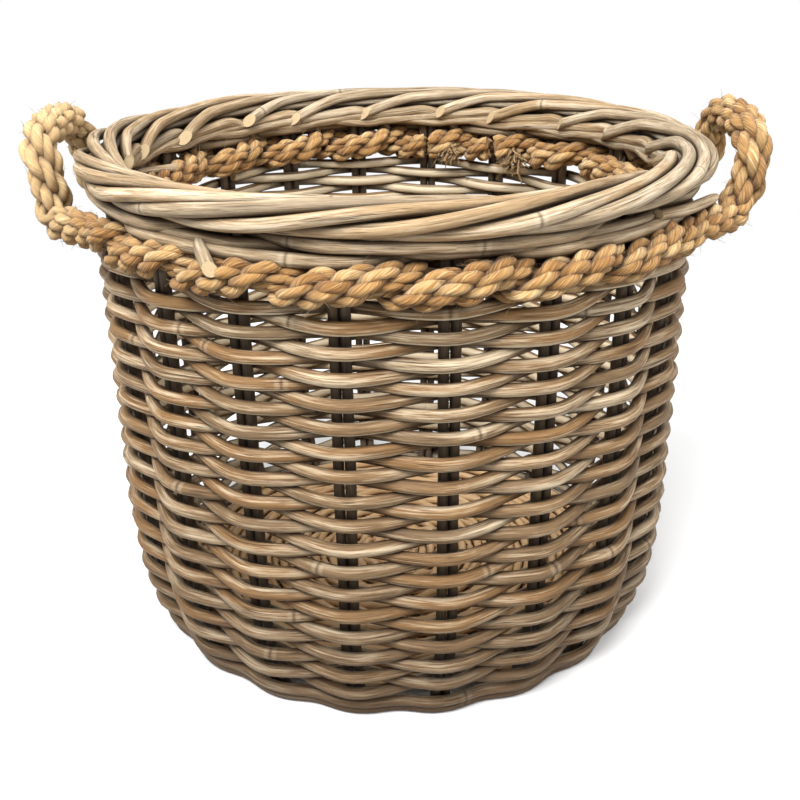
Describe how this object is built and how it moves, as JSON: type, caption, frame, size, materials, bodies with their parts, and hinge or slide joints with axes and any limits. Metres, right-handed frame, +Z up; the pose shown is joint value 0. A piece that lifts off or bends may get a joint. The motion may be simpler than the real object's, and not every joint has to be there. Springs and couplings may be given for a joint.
{
  "type": "woven laundry basket",
  "caption": "Round laundry basket of woven rattan rods with a thick rolled rod border and a rope twined round its neck that stands up as a carrying loop on each side.",
  "frame": {"origin": "on the floor under the centre of the basket", "axes": "+Z up, a carrying loop on +X and on -X, front towards -Y"},
  "size_m": [0.578, 0.5004, 0.426],
  "materials": {
    "rattan": "weathered, matt",
    "dark_rattan": "dark stained, matt",
    "pale_rattan": "weathered grey, matt",
    "peeled_rattan": "raw, matt",
    "coir_rope": "hairy fibre"
  },
  "bodies": {
    "basket": {"base_mat": "peeled_rattan", "base_spokes": "dark_rattan", "border": "pale_rattan", "foot_wale_lower": "dark_rattan", "foot_wale_upper": "dark_rattan", "rope_a_round": "coir_rope", "rope_a_tail": "coir_rope", "rope_b_round": "coir_rope", "rope_b_start": "coir_rope", "stake_01": "dark_rattan", "stake_02": "dark_rattan", "stake_03": "dark_rattan", "stake_04": "dark_rattan", "stake_05": "dark_rattan", "stake_06": "dark_rattan", "stake_07": "dark_rattan", "stake_08": "dark_rattan", "stake_09": "dark_rattan", "stake_10": "dark_rattan", "stake_11": "dark_rattan", "stake_12": "dark_rattan", "stake_13": "dark_rattan", "stake_14": "dark_rattan", "stake_15": "dark_rattan", "stake_16": "dark_rattan", "stake_17": "dark_rattan", "stake_18": "dark_rattan", "stake_19": "dark_rattan", "stake_20": "dark_rattan", "top_wale_lower": "pale_rattan", "top_wale_upper": "pale_rattan", "weaver_a1": "rattan", "weaver_a2": "rattan", "weaver_a3": "rattan", "weaver_a4": "rattan", "weaver_a5": "rattan", "weaver_a6": "rattan", "weaver_a7": "rattan", "weaver_a8": "rattan", "weaver_b1": "rattan", "weaver_b2": "rattan", "weaver_b3": "rattan", "weaver_b4": "rattan", "weaver_b5": "rattan", "weaver_b6": "rattan", "weaver_b7": "rattan", "weaver_b8": "rattan"},
    "handle_left": {"handle_left": "coir_rope"},
    "handle_right": {"handle_right": "coir_rope"}
  },
  "joints": [
    {"name": "right_loop_swing", "type": "hinge", "parent": "basket", "child": "handle_right", "pos_m": [0.26, 0, 0.349], "axis": [0, 1, 0], "range_deg": [-6, 60], "stiffness_Nm_per_rad": 1},
    {"name": "left_loop_swing", "type": "hinge", "parent": "basket", "child": "handle_left", "pos_m": [-0.26, 0, 0.349], "axis": [0, -1, 0], "range_deg": [-6, 60], "stiffness_Nm_per_rad": 1}
  ]
}
